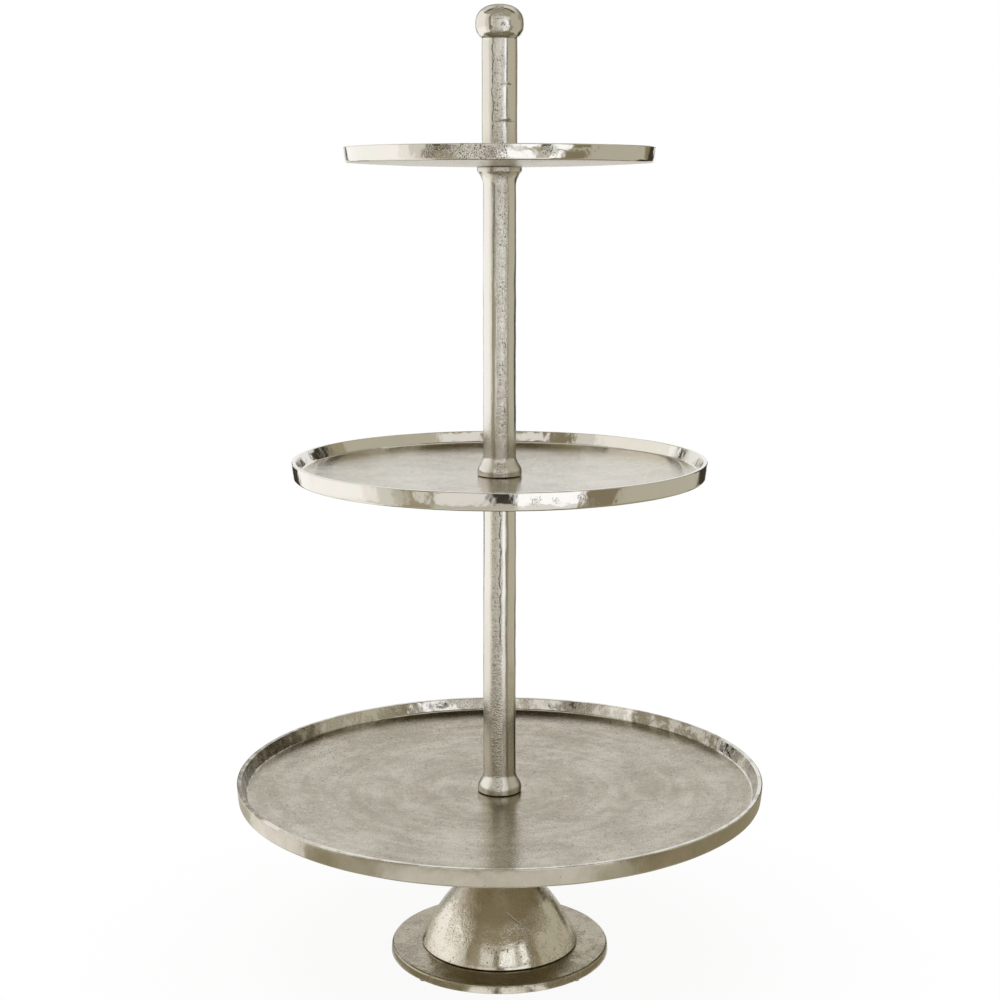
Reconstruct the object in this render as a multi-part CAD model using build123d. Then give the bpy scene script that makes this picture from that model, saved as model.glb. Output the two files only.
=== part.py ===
from build123d import *
import math
import os

# Three-tier serving stand in sand-cast aluminium with a raw nickel finish. Millimetres, +Z up.
# The origin is on the stand's axis, on the surface that the felt pads stand on.

# Large tray: lip radius, lip above the seat, outer wall, rise of the dished floor, lip
large_tray_radius = 253.5
large_tray_rim_height = 18.9
large_tray_wall_height = 17.1
large_tray_floor_rise = 7.3
large_tray_lip_width = 4.6

# Medium tray, in the same order
medium_tray_radius = 197.8
medium_tray_rim_height = 16.3
medium_tray_wall_height = 16.7
medium_tray_floor_rise = 4.9
medium_tray_lip_width = 3.9

# Small tray, in the same order
small_tray_radius = 146.8
small_tray_rim_height = 14.2
small_tray_wall_height = 14.6
small_tray_floor_rise = 4.0
small_tray_lip_width = 3.4

# What the three trays share
tray_floor_thickness = 4.0
tray_seat_radius = 34.0
tray_wall_draft = 1.8
tray_inner_wall_lean = 4.6
tray_lip_bevel = 0.5
tray_bottom_bevel = 1.5
tray_wall_foot_round = 2.0

# Posts: one pattern cast in two lengths, a softer flange at its foot and a crisper one at its head
lower_post_length = 306.3
upper_post_length = 292.6
post_radius = 16.0
post_foot_radius = 21.6
post_foot_band = 6.3
post_foot_flare = 14.9
post_foot_round = 1.6
post_foot_bevel = 0.8
post_head_radius = 21.7
post_head_band = 4.5
post_head_flare = 13.7
post_head_bevel = 0.5

# Handle: a stem with the posts' foot flange and a flattened ball on top
handle_height = 146.5
handle_stem_radius = 16.9
handle_ball_radius = 22.9
handle_ball_half_height = 18.9
handle_ball_belt_radius = 15.5

# Foot bell: a domed shell on the plate, drawn in to a neck, with a seat for the large tray
bell_height = 146.6
bell_base_radius = 76.7
bell_dome_radius = 188.2
bell_base_lean_deg = 22.3
bell_shoulder_lean_deg = 45.0
bell_ceiling_lean_deg = 50.0
bell_wall = 5.0
bell_base_bevel = 1.0
bell_neck_radius = 18.0
bell_seat_radius = 29.0
bell_seat_band = 6.0
bell_seat_flare = 15.0
bell_seat_bevel = 0.8

# Foot plate: a flat rimmed disc, hollow beneath, raised in the middle over the bolt's head
plate_radius = 106.3
plate_height = 8.4
plate_web = 4.0
plate_rim_width = 12.0
plate_top_bevel = 1.2
plate_bottom_bevel = 0.5
plate_spigot_height = 3.0
plate_spigot_clearance = 0.5
plate_hub_height = 15.0
plate_hub_top_radius = 20.0
plate_hub_bottom_radius = 28.0
plate_hub_web = 5.0

# Felt pads stuck under the plate's rim
pad_thickness = 1.2
pad_radius = 4.5
pad_count = 4

# M10 fixings: one long bolt up through the foot, and a stud through each upper tray
thread_radius = 5.0
thread_engagement = 20.0
thread_socket_spare = 5.0
thread_end_chamfer = 1.0
bolt_hole_clearance = 0.5
bolt_head_width = 17.0
bolt_head_height = 6.4
bolt_head_chamfer = 0.9
washer_outer_radius = 10.0
washer_clearance = 0.25
washer_thickness = 2.0
lock_washer_outer_radius = 9.05
lock_washer_clearance = 0.1
lock_washer_thickness = 2.2
lock_washer_gap = 1.8

# How far a cutting shape runs past what it cuts
overrun = 1.0

# Heights of the stack, from the floor up
plate_z = pad_thickness
bell_z = plate_z + plate_height
large_tray_z = bell_z + bell_height
lower_post_z = large_tray_z + tray_floor_thickness
medium_tray_z = lower_post_z + lower_post_length
upper_post_z = medium_tray_z + tray_floor_thickness
small_tray_z = upper_post_z + upper_post_length
handle_z = small_tray_z + tray_floor_thickness

bolt_hole_radius = thread_radius + bolt_hole_clearance
socket_depth = thread_engagement + thread_socket_spare


def turned(outline):
    """Turn a closed outline, drawn as radius and height, about the stand's axis."""
    return revolve(Plane.XZ * outline, Axis.Z)


def rounded(outline, corner, radius):
    """Round the outline's corner nearest to a point."""
    return fillet(outline.vertices().sort_by_distance(corner)[0], radius)


def bevelled(outline, corner, length):
    """Cut a small flat on the outline's corner nearest to a point."""
    return chamfer(outline.vertices().sort_by_distance(corner)[0], length)


def rod(radius, length, foot_z):
    """A plain round bar on the axis, standing on a height."""
    return Pos(0, 0, foot_z) * extrude(Circle(radius), length)


def bolt_hole(low_z, high_z):
    """The clearance hole through a piece between two heights."""
    return rod(bolt_hole_radius, high_z - low_z + 2 * overrun, low_z - overrun)


def make_tray(radius, rim_height, wall_height, floor_rise, lip_width):
    """A dished tray. Its seat for the post is at height 0 and its hub is below."""
    lip_inner = radius - lip_width
    wall_foot = lip_inner - tray_inner_wall_lean
    wall_bottom = radius - tray_wall_draft
    bottom_z = rim_height - wall_height
    outline = make_face(
        Polyline(
            (0, 0),
            (tray_seat_radius, 0),
            (wall_foot, floor_rise),
            (lip_inner, rim_height),
            (radius, rim_height),
            (wall_bottom, bottom_z),
            (tray_seat_radius, -tray_floor_thickness),
            (0, -tray_floor_thickness),
            (0, 0),
        ).edges()
    )
    outline = rounded(outline, (wall_foot, floor_rise), tray_wall_foot_round)
    outline = bevelled(outline, (lip_inner, rim_height), tray_lip_bevel)
    outline = bevelled(outline, (radius, rim_height), tray_lip_bevel)
    outline = bevelled(outline, (wall_bottom, bottom_z), tray_bottom_bevel)
    return turned(outline) - bolt_hole(-tray_floor_thickness, 0)


def foot_flange(stem_radius):
    """The edges of the flange at the foot of a post or the handle, from the axis to the stem."""
    flare_top = post_foot_band + post_foot_flare
    band = Polyline((0, 0), (post_foot_radius, 0), (post_foot_radius, post_foot_band))
    flare = TangentArc((stem_radius, flare_top), (post_foot_radius, post_foot_band), tangent=(0, -1))
    return [*band.edges(), *flare.edges()]


def soften_foot_flange(outline):
    """Bevel the foot flange's lower corner and round its upper one."""
    outline = bevelled(outline, (post_foot_radius, 0), post_foot_bevel)
    return rounded(outline, (post_foot_radius, post_foot_band), post_foot_round)


def make_post(length):
    """A post with a tapped socket in each end."""
    band_z = length - post_head_band
    flare_z = band_z - post_head_flare
    shaft = Line((post_radius, post_foot_band + post_foot_flare), (post_radius, flare_z))
    flare = TangentArc((post_radius, flare_z), (post_head_radius, band_z), tangent=(0, 1))
    head = Polyline((post_head_radius, band_z), (post_head_radius, length), (0, length), (0, 0))
    outline = make_face([*foot_flange(post_radius), *shaft.edges(), *flare.edges(), *head.edges()])
    outline = soften_foot_flange(outline)
    outline = bevelled(outline, (post_head_radius, band_z), post_head_bevel)
    outline = bevelled(outline, (post_head_radius, length), post_head_bevel)
    sockets = rod(thread_radius, socket_depth + overrun, -overrun)
    sockets += rod(thread_radius, socket_depth + overrun, length - socket_depth)
    return turned(outline) - sockets


def make_handle():
    """The lifting handle: a stem, a flattened ball and a tapped socket in the foot."""
    ball_z = handle_height - handle_ball_half_height
    belt_x = handle_ball_radius - handle_ball_belt_radius
    spare_height = handle_ball_half_height - handle_ball_belt_radius
    crown_radius = (belt_x**2 + handle_ball_half_height**2 - handle_ball_belt_radius**2) / (2 * spare_height)
    crown_drop = crown_radius - handle_ball_half_height
    crease_deg = math.degrees(math.acos((handle_stem_radius - belt_x) / handle_ball_belt_radius))
    crown_deg = math.degrees(math.atan2(crown_drop, belt_x))
    belt = CenterArc((belt_x, ball_z), handle_ball_belt_radius, -crease_deg, crease_deg + crown_deg)
    crown = TangentArc(belt @ 1, (0, handle_height), tangent=belt % 1)
    stem = Line((handle_stem_radius, post_foot_band + post_foot_flare), belt @ 0)
    axis = Line((0, handle_height), (0, 0))
    edges = [edge for curve in (stem, belt, crown, axis) for edge in curve.edges()]
    outline = soften_foot_flange(make_face([*foot_flange(handle_stem_radius), *edges]))
    return turned(outline) - rod(thread_radius, socket_depth + overrun, -overrun)


def dome_centre():
    """The centre of the arc that the bell's dome follows, as radius and height."""
    base_normal = Vector(1, 0).rotate(Axis.Z, bell_base_lean_deg)
    return Vector(bell_base_radius, 0) - base_normal * bell_dome_radius


def dome_point(lean_deg, wall=0):
    """A point of the bell's dome where it leans by an angle, drawn in by a wall."""
    return dome_centre() + Vector(bell_dome_radius - wall, 0).rotate(Axis.Z, lean_deg)


def bell_inner_radius(height):
    """How wide the bell's hollow is at a height above its base."""
    rise = height - dome_centre().Y
    return dome_centre().X + math.sqrt((bell_dome_radius - bell_wall) ** 2 - rise**2)


def make_bell():
    """The bell of the foot: a domed shell that draws in to a neck and a seat for the tray."""
    dome_middle_deg = (bell_base_lean_deg + bell_shoulder_lean_deg) / 2
    shoulder = dome_point(bell_shoulder_lean_deg)
    dome = ThreePointArc(dome_point(bell_base_lean_deg), dome_point(dome_middle_deg), shoulder)
    neck_curve_radius = (shoulder.X - bell_neck_radius) / (1 - (dome % 1).Y)
    neck_z = shoulder.Y + neck_curve_radius * abs((dome % 1).X)
    band_z = bell_height - bell_seat_band
    flare_z = band_z - bell_seat_flare
    neck_curve = TangentArc(shoulder, (bell_neck_radius, neck_z), tangent=dome % 1)
    neck = Line((bell_neck_radius, neck_z), (bell_neck_radius, flare_z))
    flare = TangentArc((bell_neck_radius, flare_z), (bell_seat_radius, band_z), tangent=(0, 1))
    seat = Polyline(
        (bell_seat_radius, band_z), (bell_seat_radius, bell_height), (0, bell_height), (0, 0)
    )
    base = Line((0, 0), (bell_base_radius, 0))
    curves = (base, dome, neck_curve, neck, flare, seat)
    outline = make_face([edge for curve in curves for edge in curve.edges()])
    outline = bevelled(outline, (bell_base_radius, 0), bell_base_bevel)
    outline = bevelled(outline, (bell_seat_radius, band_z), bell_seat_bevel)
    outline = bevelled(outline, (bell_seat_radius, bell_height), bell_seat_bevel)
    return turned(outline) - bell_hollow() - bolt_hole(0, bell_height)


def bell_hollow():
    """The space inside the bell, one wall in from its dome. It starts below the bell's base."""
    middle_deg = (bell_base_lean_deg + bell_ceiling_lean_deg) / 2
    low = dome_point(bell_base_lean_deg, bell_wall)
    high = dome_point(bell_ceiling_lean_deg, bell_wall)
    wall = ThreePointArc(low, dome_point(middle_deg, bell_wall), high)
    rest = Polyline(high, (0, high.Y), (0, low.Y), low)
    return turned(make_face([*wall.edges(), *rest.edges()]))


def make_plate():
    """The foot plate, with a spigot that centres the bell and a hub over the bolt's head."""
    spigot_radius = bell_inner_radius(plate_spigot_height) - plate_spigot_clearance
    spigot_z = plate_height + plate_spigot_height
    hub_z = plate_height + plate_hub_height
    web_z = plate_height - plate_web
    recess_z = hub_z - plate_hub_web
    recess_radius = plate_radius - plate_rim_width
    outline = make_face(
        Polyline(
            (0, hub_z),
            (plate_hub_top_radius, hub_z),
            (plate_hub_bottom_radius, spigot_z),
            (spigot_radius, spigot_z),
            (spigot_radius, plate_height),
            (plate_radius, plate_height),
            (plate_radius, 0),
            (recess_radius, 0),
            (recess_radius, web_z),
            (plate_hub_bottom_radius - plate_web, web_z),
            (plate_hub_top_radius - plate_web, recess_z),
            (0, recess_z),
            (0, hub_z),
        ).edges()
    )
    outline = bevelled(outline, (plate_radius, plate_height), plate_top_bevel)
    outline = bevelled(outline, (plate_radius, 0), plate_bottom_bevel)
    return turned(outline) - bolt_hole(recess_z, hub_z)


def make_pads():
    """The felt pads, spaced evenly round the middle of the plate's rim."""
    ring_radius = plate_radius - plate_rim_width / 2
    pad = extrude(Circle(pad_radius), pad_thickness)
    places = PolarLocations(ring_radius, pad_count, start_angle=180 / pad_count)
    return Part() + [place * pad for place in places]


def make_stud(length):
    """A threaded rod with chamfered ends, standing on height 0."""
    stud = rod(thread_radius, length, 0)
    return chamfer(stud.edges().filter_by(GeomType.CIRCLE), thread_end_chamfer)


def make_washer(outer_radius, clearance, thickness):
    """A flat ring round the bolt, standing on height 0."""
    return extrude(Circle(outer_radius) - Circle(thread_radius + clearance), thickness)


def make_lock_washer():
    """A spring ring, cut through on one side."""
    ring = make_washer(lock_washer_outer_radius, lock_washer_clearance, lock_washer_thickness)
    cut_length = lock_washer_outer_radius + overrun
    cut = Box(cut_length, lock_washer_gap, lock_washer_thickness + 2 * overrun)
    return ring - Pos(cut_length / 2, 0, lock_washer_thickness / 2) * cut


def make_bolt(shank_length):
    """A hexagon-headed bolt. Its shank starts at height 0 and its head hangs below."""
    head = extrude(RegularPolygon(bolt_head_width / 2, 6, major_radius=False), bolt_head_height)
    corner_radius = RegularPolygon(bolt_head_width / 2, 6, major_radius=False).radius
    crown = rod(corner_radius, bolt_head_height, 0)
    crown = chamfer(crown.edges().filter_by(GeomType.CIRCLE).sort_by(Axis.Z)[0], bolt_head_chamfer)
    shank = rod(thread_radius, shank_length, 0)
    shank = chamfer(shank.edges().filter_by(GeomType.CIRCLE).sort_by(Axis.Z)[-1], thread_end_chamfer)
    return shank + Pos(0, 0, -bolt_head_height) * (head & crown)


# Fixings: the stack under the plate's hub, and the studs through the upper trays
hub_underside_z = plate_z + plate_height + plate_hub_height - plate_hub_web
washer_z = hub_underside_z - washer_thickness
lock_washer_z = washer_z - lock_washer_thickness
foot_bolt_length = lower_post_z + thread_engagement - lock_washer_z
stud_length = tray_floor_thickness + 2 * thread_engagement
washer = make_washer(washer_outer_radius, washer_clearance, washer_thickness)

large_tray = make_tray(
    large_tray_radius,
    large_tray_rim_height,
    large_tray_wall_height,
    large_tray_floor_rise,
    large_tray_lip_width,
)
medium_tray = make_tray(
    medium_tray_radius,
    medium_tray_rim_height,
    medium_tray_wall_height,
    medium_tray_floor_rise,
    medium_tray_lip_width,
)
small_tray = make_tray(
    small_tray_radius,
    small_tray_rim_height,
    small_tray_wall_height,
    small_tray_floor_rise,
    small_tray_lip_width,
)

pieces = {
    "foot_pads": make_pads(),
    "foot_plate": Pos(0, 0, plate_z) * make_plate(),
    "foot_bell": Pos(0, 0, bell_z) * make_bell(),
    "foot_washer": Pos(0, 0, washer_z) * washer,
    "foot_lock_washer": Pos(0, 0, lock_washer_z) * make_lock_washer(),
    "foot_bolt": Pos(0, 0, lock_washer_z) * make_bolt(foot_bolt_length),
    "large_tray": Pos(0, 0, lower_post_z) * large_tray,
    "lower_post": Pos(0, 0, lower_post_z) * make_post(lower_post_length),
    "lower_stud": Pos(0, 0, medium_tray_z - thread_engagement) * make_stud(stud_length),
    "medium_tray": Pos(0, 0, upper_post_z) * medium_tray,
    "upper_post": Pos(0, 0, upper_post_z) * make_post(upper_post_length),
    "upper_stud": Pos(0, 0, small_tray_z - thread_engagement) * make_stud(stud_length),
    "small_tray": Pos(0, 0, handle_z) * small_tray,
    "handle": Pos(0, 0, handle_z) * make_handle(),
}

os.makedirs("parts", exist_ok=True)
for name, piece in pieces.items():
    export_step(piece, f"parts/{name}.step")
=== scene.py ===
import math

import bpy
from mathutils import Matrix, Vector, noise


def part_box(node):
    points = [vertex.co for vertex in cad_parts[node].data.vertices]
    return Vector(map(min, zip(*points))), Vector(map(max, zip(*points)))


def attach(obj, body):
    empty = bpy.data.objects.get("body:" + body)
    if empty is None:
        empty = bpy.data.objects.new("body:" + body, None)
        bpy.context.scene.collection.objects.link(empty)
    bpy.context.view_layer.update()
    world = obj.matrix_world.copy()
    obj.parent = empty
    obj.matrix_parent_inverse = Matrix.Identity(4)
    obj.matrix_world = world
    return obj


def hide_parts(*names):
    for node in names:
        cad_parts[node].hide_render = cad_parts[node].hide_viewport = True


# Three-tier serving stand: sand-cast aluminium with a raw nickel finish. Metres, +Z up.
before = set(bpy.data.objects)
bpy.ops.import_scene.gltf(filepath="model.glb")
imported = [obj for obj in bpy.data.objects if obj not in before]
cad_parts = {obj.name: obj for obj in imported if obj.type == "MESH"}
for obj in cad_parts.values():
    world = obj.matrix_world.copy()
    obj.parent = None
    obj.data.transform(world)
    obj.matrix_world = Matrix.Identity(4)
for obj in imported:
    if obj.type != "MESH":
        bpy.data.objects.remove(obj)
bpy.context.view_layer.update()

MM = 0.001


def above(node, rise):
    """The height of a point that lies so far above a CAD node's foot."""
    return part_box(node)[0].z + rise


# Trays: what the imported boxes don't give. Wall height, rise of the dished floor and lip width
TRAY_SIZES = {
    "large_tray": (17.1 * MM, 7.3 * MM, 4.6 * MM),
    "medium_tray": (16.7 * MM, 4.9 * MM, 3.9 * MM),
    "small_tray": (14.6 * MM, 4.0 * MM, 3.4 * MM),
}
TRAY_FLOOR_THICKNESS = 4.0 * MM
TRAY_SEAT_RADIUS = 34.0 * MM
TRAY_WALL_DRAFT = 1.8 * MM
TRAY_INNER_WALL_LEAN = 4.6 * MM
TRAY_LIP_ROUND = 1.0 * MM
TRAY_BOTTOM_ROUND = 2.5 * MM
TRAY_WALL_FOOT_ROUND = 2.0 * MM
TRAY_WALL_BARREL = 0.25 * MM

# Posts and handle
POST_RADIUS = 16.0 * MM
FOOT_FLANGE_RADIUS = 21.6 * MM
FOOT_FLANGE_BAND = 3.8 * MM
FOOT_FLANGE_FLARE = 14.8 * MM
FOOT_FLANGE_ROUND = 1.3 * MM
HEAD_FLANGE_BAND = 4.5 * MM
HEAD_FLANGE_FLARE = 13.7 * MM
HEAD_FLANGE_ROUND = 0.9 * MM
STEM_RADIUS = 16.9 * MM
BALL_CROWN_HEIGHT = 18.9 * MM
BALL_BELLY_HEIGHT = 17.8 * MM
BALL_SQUARENESS = 2.4

# Bell and plate of the foot
DOME_BASE_RADIUS = 76.7 * MM
DOME_RADIUS = 188.2 * MM
DOME_BASE_LEAN = math.radians(22.3)
DOME_SHOULDER_LEAN = math.radians(45)
DOME_CEILING_LEAN = math.radians(50)
BELL_WALL = 5.0 * MM
BELL_BASE_ROUND = 1.2 * MM
NECK_RADIUS = 18.0 * MM
BELL_SEAT_RADIUS = 29.0 * MM
BELL_SEAT_BAND = 6.0 * MM
BELL_SEAT_FLARE = 15.0 * MM
BELL_SEAT_ROUND = 1.2 * MM
PLATE_HEIGHT = 8.4 * MM
PLATE_WEB = 4.0 * MM
PLATE_RIM_WIDTH = 12.0 * MM
PLATE_TOP_ROUND = 2.6 * MM
PLATE_EDGE_LEAN = 1.0 * MM
PLATE_BOTTOM_ROUND = 0.8 * MM
PLATE_SPIGOT_HEIGHT = 3.0 * MM
PLATE_SPIGOT_CLEARANCE = 0.5 * MM
PLATE_HUB_TOP_RADIUS = 20.0 * MM
PLATE_HUB_BOTTOM_RADIUS = 28.0 * MM
PLATE_HUB_WEB = 5.0 * MM

# Marks across the handle: bearing, height, half its turn in degrees, half its width and its depth
HANDLE_MARKS = (
    (20, above("handle", 71.8 * MM), 26, 1.1 * MM, 0.45 * MM),
    (20, above("handle", 37.7 * MM), 42, 1.3 * MM, 0.6 * MM),
    (8, above("handle", 126.4 * MM), 7, 3.0 * MM, 0.35 * MM),
)
# How far a mark wobbles, as a share of half its width, and over what length
MARK_WOBBLE = 0.8
MARK_WOBBLE_LENGTH = 4 * MM

# Casting waviness: how deep it sinks a skin, and how wide its patches are
TRAY_WAVINESS = (0.3 * MM, 30 * MM)
POST_WAVINESS = (0.5 * MM, 24 * MM)
FOOT_WAVINESS = (0.35 * MM, 24 * MM)
# How far a seed moves the patches along each axis, in patches
SEED_STRIDES = (7.3, 3.1, 5.7)

# How finely the skins are cut: steps in a round, the longest step along an outline, and sides
ARC_STEPS = 8
TRAY_STEP = 4.0 * MM
TRAY_SIDES = {"large_tray": 512, "medium_tray": 448, "small_tray": 384}
POST_STEP = 1.2 * MM
POST_SIDES = 160
FOOT_STEP = 3 * MM
FOOT_SIDES = 256
# The parts of a tray's skin that differ in finish. A face that points down more steeply than the
# first slope belongs to the underside, one that points up more steeply than the second to the lip
FLOOR, RIM, WALL, UNDERSIDE = range(4)
UNDERSIDE_SLOPE = -0.9
LIP_SLOPE = 0.2


# Outlines, drawn as radius and height


def rounded_outline(corners):
    """The outline through corners of radius, height and rounding."""
    outline = []
    for index, (radius, height, rounding) in enumerate(corners):
        corner = Vector((radius, height))
        if rounding == 0:
            outline.append(corner)
            continue
        before = (Vector(corners[index - 1][:2]) - corner).normalized()
        after = (Vector(corners[index + 1][:2]) - corner).normalized()
        half_angle = before.angle(after) / 2
        centre = corner + (before + after).normalized() * (rounding / math.sin(half_angle))
        start = corner + before * (rounding / math.tan(half_angle)) - centre
        end = corner + after * (rounding / math.tan(half_angle)) - centre
        for step in range(ARC_STEPS + 1):
            ray = start.lerp(end, step / ARC_STEPS)
            outline.append(centre + ray.normalized() * rounding)
    return outline


def filled(outline, longest):
    """The same outline with points added along its long runs."""
    points = [outline[0]]
    for start, end in zip(outline, outline[1:]):
        steps = max(1, math.ceil((end - start).length / longest))
        points += [start.lerp(end, step / steps) for step in range(1, steps + 1)]
    return points


def arc_corners(centre, radius, start, end, steps=16):
    """Corners along an arc about a centre, between two angles above the horizontal."""
    angles = [start + (end - start) * step / steps for step in range(steps + 1)]
    return [(centre.x + radius * math.cos(a), centre.y + radius * math.sin(a), 0) for a in angles]


def flare_corners(stem_radius, stem_z, rim_radius, rim_z):
    """Corners of a flare from a stem, which it leaves straight, up and out to a rim."""
    out, rise = rim_radius - stem_radius, rim_z - stem_z
    curve_radius = (out**2 + rise**2) / (2 * out)
    centre = Vector((stem_radius + curve_radius, stem_z))
    return arc_corners(centre, curve_radius, math.pi, math.pi - math.asin(rise / curve_radius))[:-1]


def dish_corners(start_radius, start_z, end_radius, end_z, steps=24):
    """Corners of a dished sheet that starts level."""
    corners = []
    for step in range(steps + 1):
        share = step / steps
        radius = start_radius + (end_radius - start_radius) * share
        corners.append((radius, start_z + (end_z - start_z) * share**2, 0))
    return corners


def barrel_corners(start, end, bulge, steps=10):
    """Corners between two points whose middle bulges out. The ends are left to their rounds."""
    corners = []
    for step in range(2, steps - 1):
        share = step / steps
        radius = start[0] + (end[0] - start[0]) * share + bulge * 4 * share * (1 - share)
        corners.append((radius, start[1] + (end[1] - start[1]) * share, 0))
    return corners


def tray_outline(node):
    """A dished tray with a drafted wall and a leaning inner wall."""
    low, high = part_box(node)
    wall_height, floor_rise, lip_width = TRAY_SIZES[node]
    seat_z = low.z + TRAY_FLOOR_THICKNESS
    lip_inner = high.x - lip_width
    wall_foot = lip_inner - TRAY_INNER_WALL_LEAN
    wall_bottom = (high.x - TRAY_WALL_DRAFT, high.z - wall_height)
    underside = dish_corners(TRAY_SEAT_RADIUS, low.z, *wall_bottom)[:-1]
    barrel = barrel_corners(wall_bottom, (high.x, high.z), TRAY_WALL_BARREL)
    floor = dish_corners(TRAY_SEAT_RADIUS, seat_z, wall_foot, seat_z + floor_rise)[:-1]
    return rounded_outline(
        [
            (0, low.z, 0),
            *underside,
            (*wall_bottom, TRAY_BOTTOM_ROUND),
            *barrel,
            (high.x, high.z, TRAY_LIP_ROUND),
            (lip_inner, high.z, TRAY_LIP_ROUND),
            (wall_foot, seat_z + floor_rise, TRAY_WALL_FOOT_ROUND),
            *reversed(floor),
            (0, seat_z, 0),
        ]
    )


def foot_flange_corners(foot_z, stem_radius, steps=20):
    """Corners of the soft flange at the foot of a post or the handle, up to the stem."""
    corners = [(0, foot_z, 0), (FOOT_FLANGE_RADIUS, foot_z, FOOT_FLANGE_ROUND)]
    for step in range(steps + 1):
        share = step / steps
        radius = stem_radius + (FOOT_FLANGE_RADIUS - stem_radius) * (0.5 + 0.5 * math.cos(math.pi * share))
        corners.append((radius, foot_z + FOOT_FLANGE_BAND + FOOT_FLANGE_FLARE * share, 0))
    return corners


def post_outline(node):
    """A post with a soft flange at its foot and a crisper one at its head."""
    low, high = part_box(node)
    band_z = high.z - HEAD_FLANGE_BAND
    head = flare_corners(POST_RADIUS, band_z - HEAD_FLANGE_FLARE, high.x, band_z)
    return rounded_outline(
        [
            *foot_flange_corners(low.z, POST_RADIUS),
            *head,
            (high.x, band_z, HEAD_FLANGE_ROUND),
            (high.x, high.z, HEAD_FLANGE_ROUND),
            (0, high.z, 0),
        ]
    )


def handle_outline(node, steps=48):
    """A stem with a ball that is a little squarer than an ellipse."""
    low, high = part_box(node)
    power = 2 / BALL_SQUARENESS
    start = -math.acos((STEM_RADIUS / high.x) ** (1 / power))
    ball = []
    for step in range(steps + 1):
        turn = start + (math.pi / 2 - start) * step / steps
        rise = BALL_CROWN_HEIGHT if turn > 0 else -BALL_BELLY_HEIGHT
        height = high.z - BALL_CROWN_HEIGHT + rise * abs(math.sin(turn)) ** power
        ball.append((high.x * max(0.0, math.cos(turn)) ** power, height, 0))
    return rounded_outline([*foot_flange_corners(low.z, STEM_RADIUS), *ball[:-1], (0, high.z, 0)])


def dome_centre(base_z):
    """The centre of the arc that the bell's dome follows."""
    lean = Vector((math.cos(DOME_BASE_LEAN), math.sin(DOME_BASE_LEAN)))
    return Vector((DOME_BASE_RADIUS, base_z)) - lean * DOME_RADIUS


def bell_outline(node):
    """The bell: a domed shell that draws in to a neck and a seat for the large tray."""
    low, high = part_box(node)
    centre = dome_centre(low.z)
    base_rise = math.asin((low.z - centre.y) / (DOME_RADIUS - BELL_WALL))
    hollow = arc_corners(centre, DOME_RADIUS - BELL_WALL, DOME_CEILING_LEAN, base_rise)
    dome = arc_corners(centre, DOME_RADIUS, DOME_BASE_LEAN, DOME_SHOULDER_LEAN, steps=32)
    shoulder = Vector(dome[-1][:2])
    neck_curve = (shoulder.x - NECK_RADIUS) / (1 - math.cos(DOME_SHOULDER_LEAN))
    neck_z = shoulder.y + neck_curve * math.sin(DOME_SHOULDER_LEAN)
    neck_centre = Vector((NECK_RADIUS + neck_curve, neck_z))
    neck = arc_corners(neck_centre, neck_curve, math.pi + DOME_SHOULDER_LEAN, math.pi)
    band_z = high.z - BELL_SEAT_BAND
    return rounded_outline(
        [
            (0, hollow[0][1], 0),
            *hollow,
            (DOME_BASE_RADIUS, low.z, BELL_BASE_ROUND),
            *dome[2:],
            *neck[1:],
            *flare_corners(NECK_RADIUS, band_z - BELL_SEAT_FLARE, BELL_SEAT_RADIUS, band_z),
            (BELL_SEAT_RADIUS, band_z, BELL_SEAT_ROUND),
            (BELL_SEAT_RADIUS, high.z, BELL_SEAT_ROUND),
            (0, high.z, 0),
        ]
    )


def plate_outline(node):
    """The foot plate: a rimmed disc, hollow beneath, with a hub over the bolt's head."""
    low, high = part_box(node)
    top_z = low.z + PLATE_HEIGHT
    centre = dome_centre(top_z)
    spigot_z = top_z + PLATE_SPIGOT_HEIGHT
    bell_inside = centre.x + math.sqrt((DOME_RADIUS - BELL_WALL) ** 2 - (spigot_z - centre.y) ** 2)
    spigot_radius = bell_inside - PLATE_SPIGOT_CLEARANCE
    recess_radius = high.x - PLATE_RIM_WIDTH
    web_z = top_z - PLATE_WEB
    return rounded_outline(
        [
            (0, high.z - PLATE_HUB_WEB, 0),
            (PLATE_HUB_TOP_RADIUS - PLATE_WEB, high.z - PLATE_HUB_WEB, PLATE_BOTTOM_ROUND),
            (PLATE_HUB_BOTTOM_RADIUS - PLATE_WEB, web_z, PLATE_BOTTOM_ROUND),
            (recess_radius, web_z, PLATE_BOTTOM_ROUND),
            (recess_radius, low.z, PLATE_BOTTOM_ROUND),
            (high.x, low.z, PLATE_BOTTOM_ROUND),
            (high.x - PLATE_EDGE_LEAN, top_z, PLATE_TOP_ROUND),
            (spigot_radius, top_z, 0),
            (spigot_radius, spigot_z, 0),
            (PLATE_HUB_BOTTOM_RADIUS, spigot_z, 0),
            (PLATE_HUB_TOP_RADIUS, high.z, PLATE_BOTTOM_ROUND),
            (0, high.z, 0),
        ]
    )


# Skins turned from the outlines


def linked_object(name, data):
    """A new object in the scene that holds a mesh, a lamp or a camera."""
    made = bpy.data.objects.new(name, data)
    bpy.context.scene.collection.objects.link(made)
    return made


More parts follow.
